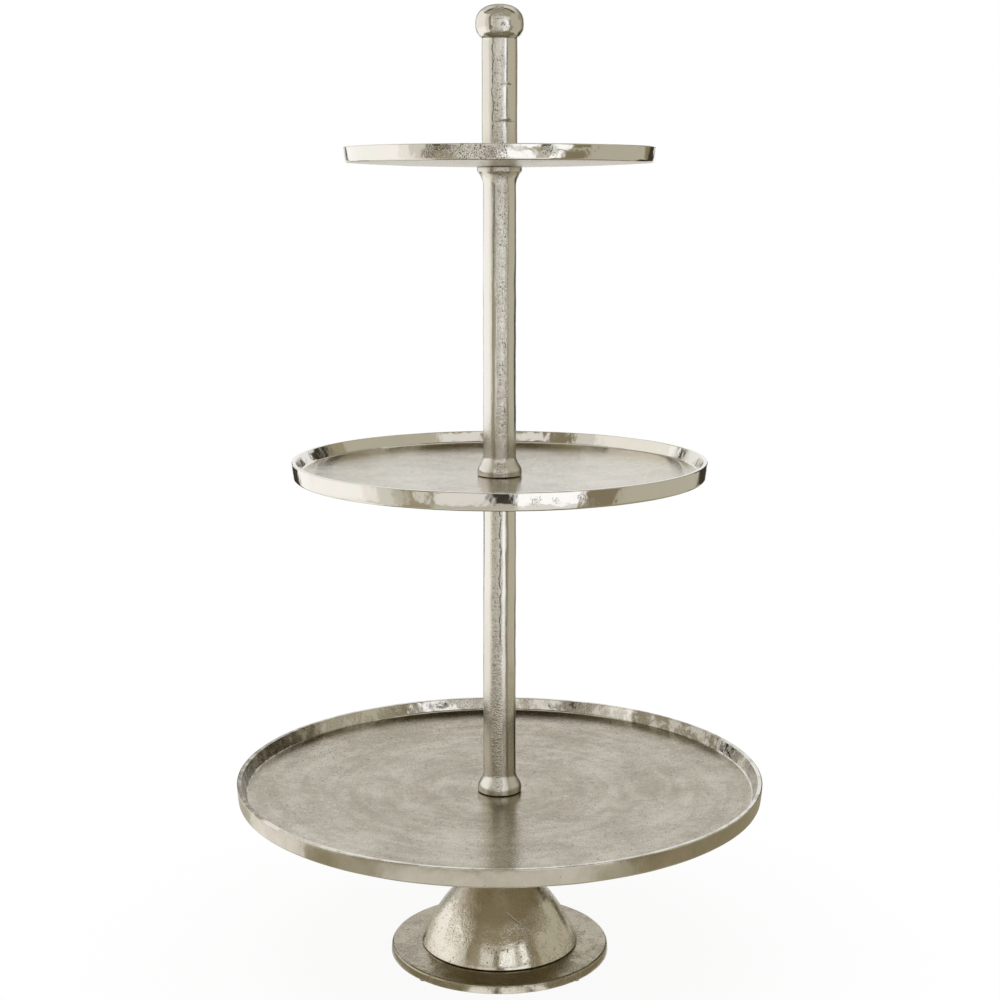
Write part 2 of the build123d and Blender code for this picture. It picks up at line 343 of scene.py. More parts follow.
def turned_piece(name, outline, sides):
    """A closed skin turned from an outline that starts and ends on the axis."""
    rings = outline[1:-1]
    points = [(0, 0, outline[0].y), (0, 0, outline[-1].y)]
    first = len(points)
    for ring in rings:
        for side in range(sides):
            angle = 2 * math.pi * side / sides
            points.append((ring.x * math.cos(angle), ring.x * math.sin(angle), ring.y))
    faces = []
    for side in range(sides):
        following = (side + 1) % sides
        for row in range(len(rings) - 1):
            low, high = first + row * sides, first + (row + 1) * sides
            faces.append((low + side, low + following, high + following, high + side))
        last = first + (len(rings) - 1) * sides
        faces.append((0, first + following, first + side))
        faces.append((1, last + side, last + following))
    mesh = bpy.data.meshes.new(name)
    mesh.from_pydata(points, [], faces)
    mesh.polygons.foreach_set("use_smooth", [True] * len(mesh.polygons))
    return linked_object(name, mesh)


def cast_waviness(piece, depth, size, seed):
    """Sink a skin by up to a depth in soft patches of a size, as casting leaves it. A seed picks them."""
    vertices = piece.data.vertices
    normals = [vertex.normal.copy() for vertex in vertices]
    offset = Vector([seed * stride for stride in SEED_STRIDES])
    for vertex, normal in zip(vertices, normals):
        share = 0.5 + 0.5 * noise.noise(vertex.co / size + offset)
        vertex.co = vertex.co - normal * (depth * share)
    piece.data.update()


def scar(piece, bearing, height, half_turn, half_width, depth):
    """Sink a thin mark across a turned piece, at a bearing in degrees (+ to the right) and a height."""
    for vertex in piece.data.vertices:
        x, y, z = vertex.co
        wobble = MARK_WOBBLE * half_width * noise.noise(vertex.co / MARK_WOBBLE_LENGTH)
        away = abs(z - height - wobble) / half_width
        turn = math.degrees(math.atan2(x, -y)) - bearing
        share = (1 - min(1, away) ** 2) * (1 - min(1, abs(turn) / half_turn) ** 2)
        if share > 0:
            vertex.co -= Vector((x, y, 0)).normalized() * (depth * share)
    piece.data.update()


def dress(piece, node):
    """Let a piece stand for its CAD node."""
    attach(piece, "root")
    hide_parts(node)


# Node material helpers


# How much of a pit, of a placed spot and of a scratch's width is full, before the edge begins
PIT_CORE = 0.25
PLACE_CORE = 0.5
SCRATCH_CORE = 0.3
# How much of a scratch's length each of its fading ends takes
SCRATCH_TAPER = 0.15
# How wide the tongues of a placed spot's edge are, and how far they reach
RAGGED_SIZE = 6 * MM
RAGGED_REACH = 14 * MM


class Value:
    """A node's output. Sums on it are written as on numbers, and each adds a node."""

    def __init__(self, node, output=0):
        self.socket = node.outputs[output]
        self.tree = node.id_data

    def __add__(self, other):
        return calc("ADD", self, other)

    def __sub__(self, other):
        return calc("SUBTRACT", self, other)

    def __rsub__(self, other):
        return calc("SUBTRACT", other, self)

    def __mul__(self, other):
        return calc("MULTIPLY", self, other)

    def __abs__(self):
        return calc("ABSOLUTE", self, 0.0)

    __radd__ = __add__
    __rmul__ = __mul__


def add_node(tree, kind, inputs=None, **settings):
    """Add a node, set its inputs to numbers or link them to values, and return it."""
    made = tree.nodes.new(kind)
    for name, value in settings.items():
        setattr(made, name, value)
    for name, value in (inputs or {}).items():
        if isinstance(value, Value):
            tree.links.new(value.socket, made.inputs[name])
        else:
            made.inputs[name].default_value = value
    return made


def emptied_tree(owner):
    """The node tree of a new material or world, emptied."""
    owner.use_nodes = True
    owner.node_tree.nodes.clear()
    return owner.node_tree


def object_coords(tree):
    """Coordinates in the object's own space, which is the stand's."""
    return Value(add_node(tree, "ShaderNodeTexCoord"), "Object")


def calc(operation, first, second):
    """One sum on two values, of which one may be a number."""
    tree = first.tree if isinstance(first, Value) else second.tree
    return Value(add_node(tree, "ShaderNodeMath", {0: first, 1: second}, operation=operation))


def larger(first, second):
    """The larger of two values."""
    return calc("MAXIMUM", first, second)


def below(value, limit):
    """1 where a value is below a limit, 0 elsewhere."""
    return calc("LESS_THAN", value, limit)


def vector_calc(operation, first, second=(0, 0, 0), output=0):
    """One sum on two vectors: output 0 is a vector, and "Value" a length or a distance."""
    made = add_node(first.tree, "ShaderNodeVectorMath", {0: first, 1: second}, operation=operation)
    return Value(made, output)


def axes(coords):
    """The X, Y and Z of coordinates."""
    made = add_node(coords.tree, "ShaderNodeSeparateXYZ", {"Vector": coords})
    return [Value(made, axis) for axis in range(3)]


def remap(value, low, high, new_low=0.0, new_high=1.0):
    """A value between two limits, eased to lie between two new ones."""
    inputs = {"Value": value, "From Min": low, "From Max": high, "To Min": new_low, "To Max": new_high}
    made = add_node(value.tree, "ShaderNodeMapRange", inputs, interpolation_type="SMOOTHSTEP")
    return Value(made, "Result")


def between(value, low, high, soft):
    """1 where a value lies between two limits, with soft ends outside them."""
    return remap(value, low - soft, low) * remap(value, high, high + soft, 1.0, 0.0)


def mixed(tree, share, first, second):
    """Two colours mixed by a share."""
    inputs = {0: share, 6: first, 7: second}
    return Value(add_node(tree, "ShaderNodeMix", inputs, data_type="RGBA"), 2)


def patches(coords, size, detail=3.0, roughness=0.55, distortion=0.0):
    """Soft noise from 0 to 1 whose patches have a size."""
    inputs = {
        "Vector": coords,
        "Scale": 1 / size,
        "Detail": detail,
        "Roughness": roughness,
        "Distortion": distortion,
    }
    return Value(add_node(coords.tree, "ShaderNodeTexNoise", inputs))


def long_patches(coords, size, *settings):
    """The same noise whose patches have a size along each axis."""
    inputs = {"Vector": coords, "Scale": tuple(1 / length for length in size)}
    mapping = add_node(coords.tree, "ShaderNodeMapping", inputs, vector_type="POINT")
    return patches(Value(mapping), 1.0, *settings)


def relief(noise_value, depth):
    """Noise as a height in mm about zero, so that patches of it have no step round them."""
    return (noise_value - 0.5) * depth


def pits(coords, spacing, radius, share):
    """Round pits: 1 in a pit, 0 elsewhere, on a share of a grid of cells."""
    inputs = {"Vector": coords, "Scale": 1 / spacing, "Randomness": 1.0}
    cells = add_node(coords.tree, "ShaderNodeTexVoronoi", inputs)
    inside = remap(Value(cells, "Distance"), radius / spacing, PIT_CORE * radius / spacing)
    chosen = Value(add_node(coords.tree, "ShaderNodeSeparateColor", {"Color": Value(cells, "Color")}))
    return inside * below(chosen, share)


def placed(coords, places):
    """1 near any of some places, each a point and a radius, and 0 away from them, with ragged edges."""
    inputs = {"Vector": coords, "Scale": 1 / RAGGED_SIZE, "Detail": 4.0, "Roughness": 0.7}
    ragged = Value(add_node(coords.tree, "ShaderNodeTexNoise", inputs), "Color")
    pushed = vector_calc("SUBTRACT", ragged, (0.5, 0.5, 0.5))
    pushed = vector_calc("MULTIPLY", pushed, (RAGGED_REACH,) * 3)
    spot = vector_calc("ADD", coords, pushed)
    share = 0.0
    for x, y, z, radius in places:
        away = vector_calc("DISTANCE", spot, (x, y, z), "Value")
        share = larger(remap(away, PLACE_CORE * radius, radius, 1.0, 0.0), share)
    return share


def scratch(coords, start, end, half_width):
    """1 in a thin scratch on the front between two points of x and z, 0 elsewhere."""
    x, y, z = axes(coords)
    run, rise = end[0] - start[0], end[1] - start[1]
    length = math.hypot(run, rise)
    right, up = x - start[0], z - start[1]
    along = right * (run / length**2) + up * (rise / length**2)
    across = abs(right * (rise / length) - up * (run / length))
    inside = remap(across, SCRATCH_CORE * half_width, half_width, 1.0, 0.0)
    return inside * between(along, 0.0, 1.0, SCRATCH_TAPER) * below(y, 0.0)


def ring_coords(coords, turn_size, ring_size):
    """Coordinates for marks that run long along a ring and narrow across it, and the radius."""
    flat = vector_calc("MULTIPLY", coords, (1, 1, 0))
    radius = vector_calc("LENGTH", flat, output="Value")
    wide = vector_calc("MULTIPLY", vector_calc("NORMALIZE", flat), (1 / turn_size,) * 3)
    across = Value(add_node(coords.tree, "ShaderNodeCombineXYZ", {"Z": radius * (1 / ring_size)}))
    return vector_calc("ADD", wide, across), radius


# Finishes of the castings


# The metal as cast, ground or plated, its stains and the dirt at the bottom of its pits. The stain
# and pit colours also serve for painted shade on some castings
SILVER = (0.74, 0.715, 0.66)
SATIN = (0.72, 0.68, 0.595)
# The undersides' raw cast colour, darkened partly as painted shade under the trays
RAW_CAST_IN_SHADE = (0.46, 0.41, 0.30)
STAIN_AND_SHADE = (0.27, 0.235, 0.155)
PIT_DIRT_AND_SHADE = (0.06, 0.05, 0.035)
ZINC = (0.66, 0.67, 0.68)
ZINC_BLOOM = (0.45, 0.46, 0.47)
# The two tones of the felt's fibres
FELT = ((0.012, 0.012, 0.012), (0.05, 0.048, 0.045))
# The two tinges that drift over each nickel, and how wide their patches are
ROSY = (1.012, 0.993, 1.0)
GREEN = (0.988, 1.0, 0.975)
TINGE_SIZE = 28 * MM
# The parting line's ground band: half its width, its soft edge, how far it drifts and over what length
SEAM_HALF_WIDTH = 3.6 * MM
SEAM_EDGE = 3 * MM
SEAM_DRIFT = 8 * MM
SEAM_DRIFT_LENGTH = 60 * MM
# Where it moves: between which heights, and from how far left of the axis to how far, added up
SEAM_SHIFTS = (
    (above("upper_post", -40.5 * MM), above("upper_post", 29.5 * MM), 2.5 * MM, -2.5 * MM),
    (above("handle", -27.1 * MM), above("handle", 32.9 * MM), 0.0, 3.6 * MM),
)
# Thin open lines along the parting line: how far right of the axis, and from which height to which
CREVICES = (
    (0.5 * MM, above("lower_post", 154.8 * MM), above("lower_post", 289.8 * MM)),
    (-6.3 * MM, above("handle", 32.9 * MM), above("handle", 107.9 * MM)),
)
# Where a line's side starts and stops to fade, how long its ends are, and its wobble and gaps
CREVICE_EDGES = (0.3 * MM, 1.0 * MM)
CREVICE_TAPER = 12 * MM
CREVICE_WOBBLE = 8 * MM
CREVICE_WOBBLE_LENGTH = 14 * MM
CREVICE_GAP_LENGTH = 7 * MM
# How high above its foot a flange's duller finish reaches, and over what height it then fades
FLANGE_REACH = 16 * MM
FLANGE_FADE = 24 * MM
# Wave texture scale that sets chatter marks about 4 mm apart
CHATTER_SCALE = 75.0
# A darker ring on the large tray's floor: its radius and half its width
SMUDGE_RADIUS = 80 * MM
SMUDGE_WIDTH = 34 * MM


def on_ring(node, inset, rise, *spots):
    """Places round a node, so far in from its edge and above its foot, from the bearings in degrees
    and the radii in mm of the spots there."""
    radius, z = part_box(node)[1].x - inset, above(node, rise)
    turns = [(math.radians(bearing), size * MM) for bearing, size in spots]
    return [(radius * math.sin(turn), -radius * math.cos(turn), z, size) for turn, size in turns]


# Worn places on the two smaller rims, how much they show on the medium one, and places on the
# large tray's inner wall where shade is painted in as darker stain and dark pits
SMALL_RIM_PLACES = on_ring(
    "small_tray", 0.0, 10.9 * MM, (-24, 10), (-18.5, 12), (-12, 12), (-6, 13), (0, 11), (17.3, 7)
)
MEDIUM_RIM_PLACES = on_ring(
    "medium_tray", 0.0, 12.5 * MM, (9, 7), (14, 5), (21, 6), (-117, 15), (-112, 13), (113, 12)
)
MEDIUM_RIM_WEAR = 0.62
LARGE_RIM_SHADE_PLACES = on_ring(
    "large_tray", 7.9 * MM, 14.8 * MM, (141, 20), (135, 24), (129, 26), (123, 26), (117, 22),
    (-60, 20), (-67, 30), (-76, 34), (-85, 34), (-94, 32), (-103, 30), (-111, 28), (-118, 26), (-125, 26)
)
# The bell's polished base and the pitted place in it
BELL_POLISHED_PLACES = on_ring("foot_bell", 4.3 * MM, 12.4 * MM, (-10, 26), (12, 26))
BELL_PITTED_PLACES = on_ring("foot_bell", 7.3 * MM, 19.4 * MM, (-7, 4.5), (-1, 5), (5, 5))
# A scratch on the bell: its two ends in x and z, and half its width
BELL_SCRATCH = (
    (7.6 * MM, above("foot_bell", 45.4 * MM)), (18.5 * MM, above("foot_bell", 37.4 * MM)), 0.7 * MM
)
# Places on the plate's edge with a painted highlight: lighter and smoother there
PLATE_EDGE_HIGHLIGHT_PLACES = on_ring(
    "foot_plate", -0.7 * MM, 1.8 * MM, (-15, 9), (-9, 9), (-4, 9), (2, 9), (8, 9), (14, 9), (21, 8)
)


def nickel(name, tint, finish, *settings, stain=STAIN_AND_SHADE):
    """A nickel-plated casting. Its finish gives stain and pit shares, some with painted shade and highlight
    in them, a roughness and a height in mm.
    """
    material = bpy.data.materials.new(name)
    tree = emptied_tree(material)
    coords = object_coords(tree)
    stained, pitted, roughness, height = finish(coords, *settings)
    tinge = remap(patches(coords, TINGE_SIZE, 3.0), 0.40, 0.60)
    rosy = tuple(value * factor for value, factor in zip(tint, ROSY))
    green = tuple(value * factor for value, factor in zip(tint, GREEN))
    colour = mixed(tree, stained, mixed(tree, tinge, (*rosy, 1), (*green, 1)), (*stain, 1))
    colour = mixed(tree, pitted, colour, (*PIT_DIRT_AND_SHADE, 1))
    bump = add_node(tree, "ShaderNodeBump", {"Strength": 1.0, "Distance": MM, "Height": height})
    inputs = {"Base Color": colour, "Metallic": 1.0, "Roughness": roughness, "Normal": Value(bump)}
    shader = add_node(tree, "ShaderNodeBsdfPrincipled", inputs)
    add_node(tree, "ShaderNodeOutputMaterial", {"Surface": Value(shader)})
    return material


def rim_finish(coords, places=(), wear=1.0):
    """Polished rims: bright and gently wavy, with pitted and grainy places, some of them listed."""
    worn = remap(patches(coords, 30 * MM, 3.0), 0.52, 0.66, 0.0, 0.45)
    if places:
        worn = larger(worn, placed(coords, places) * wear)
    grain = patches(coords, 1.7 * MM, 2.0, 0.6)
    waves = patches(coords, 13 * MM, 2.0, 0.4)
    small = pits(coords, 1.7 * MM, 0.85 * MM, 0.5)
    dots = remap(patches(coords, 0.95 * MM, 1.0), 0.58, 0.66)
    pitted = larger(small, dots) * remap(worn, 0.3, 1, 0.0, 0.95)
    height = relief(grain, remap(worn, 0, 1, 0.02, 0.13)) + relief(waves, 0.50) - pitted * 0.2
    return worn * 0.04, pitted, 0.08 + worn * 0.03, height


def stain_and_shade_patches(coords, broad_share, soft_share, least):
    """A share of stain and painted shade that varies in broad patches and in softer, smaller ones."""
    broad = patches(coords, 80 * MM, 2.0)
    soft = patches(coords, 14 * MM, 4.0, 0.65)
    return broad * broad_share + soft * soft_share + least


def large_wall_finish(coords):
    """The large tray's outer wall: the same casting, less polished, and darker: partly stain, partly painted
    shade for the shaded floor that it mirrors.
    """
    stained, pitted, roughness, height = rim_finish(coords)
    small = pits(coords, 7 * MM, 1.0 * MM, 0.3)
    # Partly painted shade: the wall is darkened to stand in for the shaded floor it mirrors
    stained = larger(stained, stain_and_shade_patches(coords, 0.35, 0.45, 0.05))
    return stained, larger(pitted * 0.5, small * 0.5), roughness + 0.13, height


def large_rim_finish(coords):
    """The large tray's lip and inner wall: polished places between grainy, stained ones, with painted shade
    at listed places on the inner wall.
    """
    stained, pitted, roughness, height = rim_finish(coords)
    dull = remap(patches(coords, 26 * MM, 4.0, 0.65), 0.45, 0.58, 0.0, 0.8)
    streaks = remap(patches(coords, 13 * MM, 4.0, 0.65), 0.38, 0.56, 0.60, 1.0)
    # Painted shade: at the listed places the wall gets more stain and dark pit colour on top of its tarnish
    shaded = placed(coords, LARGE_RIM_SHADE_PLACES) * streaks
    dull = larger(dull, shaded)
    speckle = remap(patches(coords, 1.5 * MM, 2.0, 0.7), 0.46, 0.62)
    grain = patches(coords, 1.7 * MM, 3.0, 0.65)
    tarnish_and_shade = 0.06 + dull * (0.26 + shaded * 0.55 + speckle * 0.40)
    height = height + relief(grain, remap(dull, 0, 1, 0.03, 0.22))
    return larger(stained, tarnish_and_shade), larger(pitted, shaded * 0.32), roughness + dull * 0.07, height


def floor_finish(coords):
    """Satin floors: fine grain, soft mottling and faint rings about the axis."""
    fine = patches(ring_coords(coords, 0.5, 3.0 * MM)[0], 1.0, 2.0)
    mottle = patches(coords, 30 * MM, 6.0, 0.68, 0.6)
    broad = patches(coords, 70 * MM, 2.0)
    grain = patches(coords, 1.8 * MM, 3.0, 0.65)
    speckle = remap(patches(coords, 1.6 * MM, 2.0, 0.7), 0.46, 0.68)
    small = pits(coords, 5 * MM, 1.0 * MM, 0.2)
    height = relief(grain, 0.15) + relief(fine, 0.04) - small * 0.3
    clouds = remap(mottle + broad, 0.75, 1.25, 0.22, 0.41)
    return clouds + speckle * 0.40, small * 0.4, 0.10 + mottle * 0.10, height


def large_floor_finish(coords):
    """The large tray's floor: the same satin, more stained, with smudges, grainy places and faint rings."""
    stained, pitted, roughness, height = floor_finish(coords)
    around, radius = ring_coords(coords, 0.6, 12 * MM)
    rings = patches(around, 1.0, 3.0, 0.6)
    smudges = patches(coords, 26 * MM, 5.0, 0.66, 0.8)
    small = patches(coords, 7 * MM, 4.0, 0.7, 0.4)
    smudge = remap(smudges + small * 0.9 + rings * 1.1, 1.20, 1.80, 0.22, 0.50)
    dark_ring = remap(abs(radius - SMUDGE_RADIUS), 0.0, SMUDGE_WIDTH, 0.07, 0.0)
    grainy = remap(patches(coords, 38 * MM, 3.0), 0.46, 0.58)
    dots = remap(patches(coords, 1.3 * MM, 1.0, 0.5), 0.54, 0.66, 0.0, 0.48)
    return stained + smudge + dark_ring, pitted + grainy * dots, roughness, height


def raw_finish(coords):
    """Undersides as they left the sand: grainy and dull, in a darker colour that is partly painted shade
    under the trays.
    """
    grain = patches(coords, 1.6 * MM, 4.0, 0.7)
    mottle = patches(coords, 25 * MM, 4.0)
    small = pits(coords, 4 * MM, 1.0 * MM, 0.3)
    return mottle * 0.5, small * 0.5, 0.22 + mottle * 0.1, relief(grain, 0.2) - small * 0.3


def seam(coords):
    """1 along the ground parting line down the front and back of a turned casting, 0 on its sides."""
    x, _, z = axes(coords)
    side = x + relief(long_patches(coords, (1, 1, SEAM_DRIFT_LENGTH), 2.0), SEAM_DRIFT)
    for shift in SEAM_SHIFTS:
        side = side + remap(z, *shift)
    return remap(abs(side), SEAM_HALF_WIDTH, SEAM_HALF_WIDTH + SEAM_EDGE, 1.0, 0.0)


def crevice(coords):
    """1 in the thin open lines along the lower post's upper half and the handle, 0 elsewhere."""
    x, _, z = axes(coords)
    wobble = relief(long_patches(coords, (1, 1, CREVICE_WOBBLE_LENGTH), 4.0), CREVICE_WOBBLE)
    share = 0.0
    for side, bottom, top in CREVICES:
        line = remap(abs(x - side + wobble), *CREVICE_EDGES, 1.0, 0.0)
        share = larger(share, line * between(z, bottom, top, CREVICE_TAPER))
    gaps = long_patches(coords, (1, 1, CREVICE_GAP_LENGTH), 3.0)
    return share * remap(gaps, 0.36, 0.56, 0.25, 1.0)


def on_flanges(coords):
    """1 on the soft flanges at the feet of the posts and the handle, 0 elsewhere."""
    height = axes(coords)[2]
    share = 0.0
    for node in ("lower_post", "upper_post", "handle"):
        share = larger(share, between(height, above(node, 0.0), above(node, FLANGE_REACH), FLANGE_FADE))
    return share


def post_finish(coords, chatter_stain=0.16):
    """Turned posts: smooth sides, and speckle, faint chatter and pits along the ground parting line."""
    band = seam(coords)
    flange = on_flanges(coords)
    ripples = long_patches(coords, (3 * MM, 3 * MM, 2.6 * MM), 2.0, 0.5, 0.3)
    draws = long_patches(coords, (3 * MM, 3 * MM, 90 * MM), 2.0)
    waves = long_patches(coords, (12 * MM, 12 * MM, 30 * MM), 2.0)
    grain = patches(coords, 2.0 * MM, 3.0, 0.75)
    spots = remap(patches(coords, 16 * MM, 3.0), 0.34, 0.54)
    rough_band = band * remap(spots, 0, 1, 0.6, 1.0)
    inputs = {"Vector": coords, "Scale": CHATTER_SCALE, "Distortion": 7.0, "Detail": 3.0, "Detail Scale": 1.2}
    wave = add_node(coords.tree, "ShaderNodeTexWave", inputs, wave_type="BANDS", bands_direction="Z")
    gaps = remap(patches(coords, 6 * MM, 2.0), 0.44, 0.60)
    ticks = remap(Value(wave, "Fac"), 0.45, 0.95) * gaps * band
    speckle = remap(patches(coords, 1.4 * MM, 2.0, 0.7), 0.47, 0.60)
    small = pits(coords, 2.3 * MM, 0.9 * MM, 0.40)
    pitted = larger(small * remap(rough_band, 0.6, 1, 0.02, 0.80), crevice(coords) * 0.75)
    ripple_height = relief(ripples, remap(band, 0, 1, 0.02, 0.16))
    grain_height = relief(grain, remap(rough_band, 0, 1, 0.06, 0.60))
    surface = ripple_height + grain_height + relief(draws, 0.16) + relief(waves, 0.30)
    streaks = remap(long_patches(coords, (1.3 * MM, 1.3 * MM, 15 * MM), 2.0), 0.50, 0.62, 0.0, 0.16)
    marks = rough_band * (speckle * 0.24 + streaks)
    stained = 0.01 + marks + ticks * chatter_stain + flange * 0.08
    roughness = 0.18 - band * 0.11 + flange * 0.10
    return stained, pitted, roughness, surface - pitted * 0.35 - ticks * 0.04


def handle_finish(coords):
    """The handle: the posts' finish with next to no chatter, and dirt in the marks that cross it."""
    stained, pitted, roughness, height = post_finish(coords, 0.03)
    x, y, z = axes(coords)
    bearing = calc("ARCTAN2", x, y * -1.0)
    wobble = relief(patches(coords, 3 * MM, 3.0), 2.4 * MM)
    broken = remap(patches(coords, 2.5 * MM, 2.0), 0.38, 0.55, 0.2, 0.8)
    for mark_bearing, mark_height, half_turn, half_width, _ in HANDLE_MARKS:
        off = abs(z + wobble - mark_height)
        turned = abs(bearing - math.radians(mark_bearing))
        inside = remap(off, 0.25 * half_width, 0.9 * half_width, 0.8, 0.0)
        ends = remap(turned, math.radians(0.6 * half_turn), math.radians(half_turn), 1.0, 0.0)
        pitted = larger(pitted, inside * ends * broken)
    return stained, pitted, roughness * 0.77, height


def foot_finish(coords):
    """The foot: satin with speckled pits, soft dents and worn bright places."""
    grain = patches(coords, 2.1 * MM, 4.0, 0.7)
    polished = placed(coords, BELL_POLISHED_PLACES)
    worn = remap(patches(coords, 22 * MM, 3.0), 0.42, 0.60) * (1.0 - polished)
    dents = patches(coords, 15 * MM, 2.0)
    speckle = remap(patches(coords, 1.5 * MM, 2.0, 0.7), 0.50, 0.62)
    rough_speckle = speckle * remap(worn, 0, 1, 0.3, 1)
    small = pits(coords, 4.0 * MM, 1.1 * MM, 0.3)
    buffed = 1.0 - polished * 0.75
    grain_height = relief(grain, remap(worn, 0, 1, 0.11, 0.36)) * buffed
    surface = grain_height + relief(dents, 0.6) * buffed - rough_speckle * 0.06
    dense = pits(coords, 2.2 * MM, 0.95 * MM, 0.6) * placed(coords, BELL_PITTED_PLACES)
    pitted = larger(small * 0.5, dense) * 0.85
    nick = scratch(coords, *BELL_SCRATCH)
    height = surface - pitted * 0.4 - nick * 0.35
    stained = 0.05 + rough_speckle * 0.42 + nick * 0.5 + polished * 0.08
    return stained, pitted, 0.09 + worn * 0.04 - polished * 0.03, height


def plate_finish(coords):
    """The foot's plate: the same satin, more stained and partly darkened as painted shade, with a painted
    highlight at places along its edge.
    """
    stained, pitted, roughness, height = foot_finish(coords)
    # Painted highlight at the edge places; the added stain is partly painted shade
    bright = placed(coords, PLATE_EDGE_HIGHLIGHT_PLACES)
    stained = (stained + stain_and_shade_patches(coords, 0.3, 0.5, 0.26)) * (1.0 - bright * 0.30)
    return stained, pitted, roughness + 0.05 - bright * 0.06, height


def steel_finish(coords):
    """Zinc-plated fixings: fine turning marks and a dull bloom."""
    lines = long_patches(coords, (30 * MM, 30 * MM, 0.3 * MM), 2.0)
    bloom = patches(coords, 4 * MM, 3.0)
    return bloom * 0.4, 0.0, 0.28 + bloom * 0.15, lines * 0.02


def felt():
    """Dense black felt with a fibre bump and a soft sheen."""
    material = bpy.data.materials.new("black_felt")
    tree = emptied_tree(material)
    fibre = patches(object_coords(tree), 0.4 * MM, 4.0, 0.8)
    colour = mixed(tree, fibre, (*FELT[0], 1), (*FELT[1], 1))
    bump = add_node(tree, "ShaderNodeBump", {"Distance": MM, "Height": fibre * 0.3})
    inputs = {"Base Color": colour, "Roughness": 0.95, "Sheen Weight": 0.3, "Normal": Value(bump)}
    shader = add_node(tree, "ShaderNodeBsdfPrincipled", inputs)
    add_node(tree, "ShaderNodeOutputMaterial", {"Surface": Value(shader)})
    return material


# The castings


def make_trays(tray_materials, underside):
    """The three dished trays, each with its materials for floor, lip and inner wall, and outer wall."""
    for seed, (node, materials) in enumerate(tray_materials.items(), 1):
        tray = turned_piece(node + "_casting", filled(tray_outline(node), TRAY_STEP), TRAY_SIDES[node])
        cast_waviness(tray, *TRAY_WAVINESS, seed)
        for material in (*materials, underside):
            tray.data.materials.append(material)
        wall_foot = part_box(node)[1].x - TRAY_SIZES[node][2] - TRAY_INNER_WALL_LEAN
        for face in tray.data.polygons:
            normal, centre = face.normal, face.center
            outwards = normal.x * centre.x + normal.y * centre.y > 0
            on_floor = math.hypot(centre.x, centre.y) < wall_foot - 0.5 * TRAY_WALL_FOOT_ROUND
            if on_floor or normal.z < UNDERSIDE_SLOPE:
                face.material_index = FLOOR if normal.z > 0 else UNDERSIDE
            else:
                face.material_index = WALL if outwards and normal.z < LIP_SLOPE else RIM
        dress(tray, node)


def make_posts(post_material, handle_material):
    """The two posts and the handle, with the marks that cross the handle's front."""
    outlines = {"lower_post": post_outline, "upper_post": post_outline, "handle": handle_outline}
    for seed, (node, outline) in enumerate(outlines.items(), 11):
        post = turned_piece(node + "_casting", filled(outline(node), POST_STEP), POST_SIDES)
        cast_waviness(post, *POST_WAVINESS, seed)
        if node == "handle":
            for mark in HANDLE_MARKS:
                scar(post, *mark)
        post.data.materials.append(handle_material if node == "handle" else post_material)
        dress(post, node)


def make_foot(bell_material, plate_material):
    """The bell and its plate."""
    parts = (("foot_bell", bell_outline, bell_material), ("foot_plate", plate_outline, plate_material))
    for seed, (node, outline, material) in enumerate(parts, 21):
        casting = turned_piece(node + "_casting", filled(outline(node), FOOT_STEP), FOOT_SIDES)
        cast_waviness(casting, *FOOT_WAVINESS, seed)
        casting.data.materials.append(material)
        dress(casting, node)


def finish_node(node, material):
    """Give a CAD node that stays a material."""
    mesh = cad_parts[node].data
    mesh.materials.clear()
    mesh.materials.append(material)


# Studio


# What the cards shine
SOFTBOX = (1.20, 1.19, 1.19)
WINDOW = (1.33, 1.35, 1.42)
FADED = (1.06, 1.04, 0.99)
PALE = (0.92, 0.91, 0.89)
HAZE = (0.80, 0.78, 0.73)
TABLE = (0.60, 0.575, 0.50)
TAN = (0.56, 0.535, 0.44)
OLIVE = (0.40, 0.355, 0.25)
BROWN = (0.27, 0.23, 0.15)
DARK = (0.05, 0.043, 0.03)
CEILING = (0.42, 0.395, 0.325)

# Cards that only the metal sees go round the stand in tiers, between two heights in metres.
# Each spans two bearings in degrees from the camera's side, + to the right of the picture
CARD_RADIUS = 1.0
FADE = ((-72, -63, FADED), (-62, -54, HAZE))
SIDES = ((-154, -147, DARK), (-146, -73, SOFTBOX), *FADE)
BAR_SIDES = ((-154, -147, HAZE), (-146, -73, SOFTBOX), *FADE)
UPPER_SIDES = ((-154, -149, HAZE), (-148, -143, DARK), (-142, -73, SOFTBOX), *FADE)
HIGH_SIDES = ((-158, -151, DARK), (-150, -147, HAZE), (-146, -73, FADED), (-72, -54, HAZE))
TABLE_CARDS = (
    (-154, -143, DARK), (-142, -73, FADED), (-72, -54, HAZE), (-53, -36, OLIVE), (-35, 7, TABLE),
    (8, 41, PALE), (42, 60, BROWN),
)
LOW_CARDS = (
    (-154, -136, DARK), (-135, -73, SOFTBOX), *FADE, (-53, -47, TABLE), (-46, -42, OLIVE), (-41, -37, HAZE),
    (-36, -33, OLIVE), (-32, -5, PALE), (-4, 7, DARK), (8, 41, WINDOW), (42, 60, BROWN), (61, 130, TAN),
)
